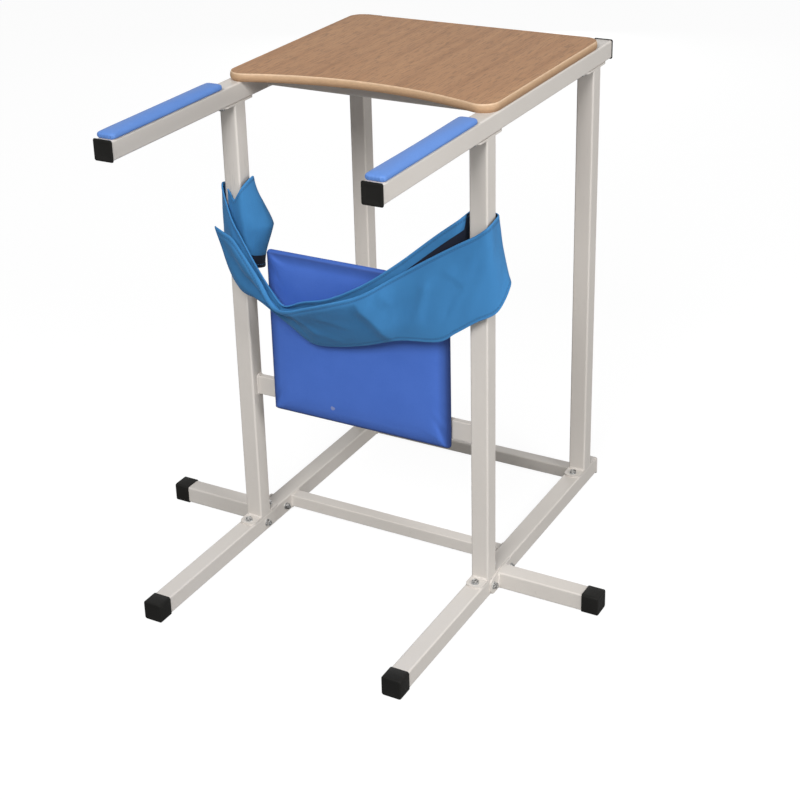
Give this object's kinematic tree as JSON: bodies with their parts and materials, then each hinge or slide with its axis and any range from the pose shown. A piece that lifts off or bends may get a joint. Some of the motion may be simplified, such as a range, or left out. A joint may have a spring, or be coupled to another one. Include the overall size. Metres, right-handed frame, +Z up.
{
  "type": "standing frame",
  "caption": "Adult standing frame of square tube with padded armrests, a wood-grain table with a hollowed front edge, a padded knee board and a cloth hip strap.",
  "frame": {"origin": "on the floor, at the centre of the bounding box seen from above", "axes": "+X to the right of a person who faces the table, +Y from the side where they step in towards the table, +Z up"},
  "size_m": [1.092, 1.051, 1.098],
  "materials": {
    "frame_paint": "warm ivory-grey powder coat, satin, lightly scuffed",
    "cap_black": "matt black rubber",
    "plug_grey": "light grey moulded plastic",
    "table_wood": "brown wood-grain laminate, satin",
    "table_edge": "lighter wood-grain edge band, satin",
    "pad_board": "plain plywood",
    "arm_vinyl": "bright blue grained vinyl, satin",
    "knee_vinyl": "royal blue vinyl, satin",
    "strap_cloth": "steel-blue woven nylon with stitched hems",
    "zinc_steel": "bright zinc plating"
  },
  "bodies": {
    "frame": {"base_tube_left": "frame_paint", "base_tube_right": "frame_paint", "outrigger_left": "frame_paint", "outrigger_right": "frame_paint", "outrigger_plates": "frame_paint", "base_crossbar_front": "frame_paint", "base_crossbar_rear": "frame_paint", "post_front_left": "frame_paint", "post_front_right": "frame_paint", "post_rear_left": "frame_paint", "post_rear_right": "frame_paint", "post_base_plates": "frame_paint", "post_top_plates": "frame_paint", "top_rail_left": "frame_paint", "top_rail_right": "frame_paint", "top_crossbar_front": "frame_paint", "top_crossbar_rear": "frame_paint", "knee_crossbar": "frame_paint", "foot_cap_front_left": "cap_black", "foot_cap_front_right": "cap_black", "outrigger_cap_left": "cap_black", "outrigger_cap_right": "cap_black", "base_plug_left": "plug_grey", "base_plug_right": "plug_grey", "rail_plug_front_left": "cap_black", "rail_plug_front_right": "cap_black", "rail_plug_rear_left": "cap_black", "rail_plug_rear_right": "cap_black", "table_board": "table_wood", "table_edge_band": "table_edge", "armrest_board_left": "pad_board", "armrest_board_right": "pad_board", "armrest_pad_left": "arm_vinyl", "armrest_pad_right": "arm_vinyl", "knee_board": "pad_board", "knee_pad": "knee_vinyl", "base_bolts": "zinc_steel", "base_washers": "zinc_steel", "base_weld_nuts": "zinc_steel", "rail_bolts": "zinc_steel", "rail_washers": "zinc_steel", "rail_weld_nuts": "zinc_steel", "outrigger_bolts": "zinc_steel", "outrigger_washers": "zinc_steel", "outrigger_nuts": "zinc_steel", "table_screws": "zinc_steel", "armrest_screws": "zinc_steel", "knee_screws": "zinc_steel"},
    "strap": {"hip_strap": "strap_cloth"}
  },
  "joints": [
    {"name": "strap_height", "type": "slide", "parent": "frame", "child": "strap", "axis": [0, 0, 1], "range_m": [-0.06, 0.12]}
  ]
}
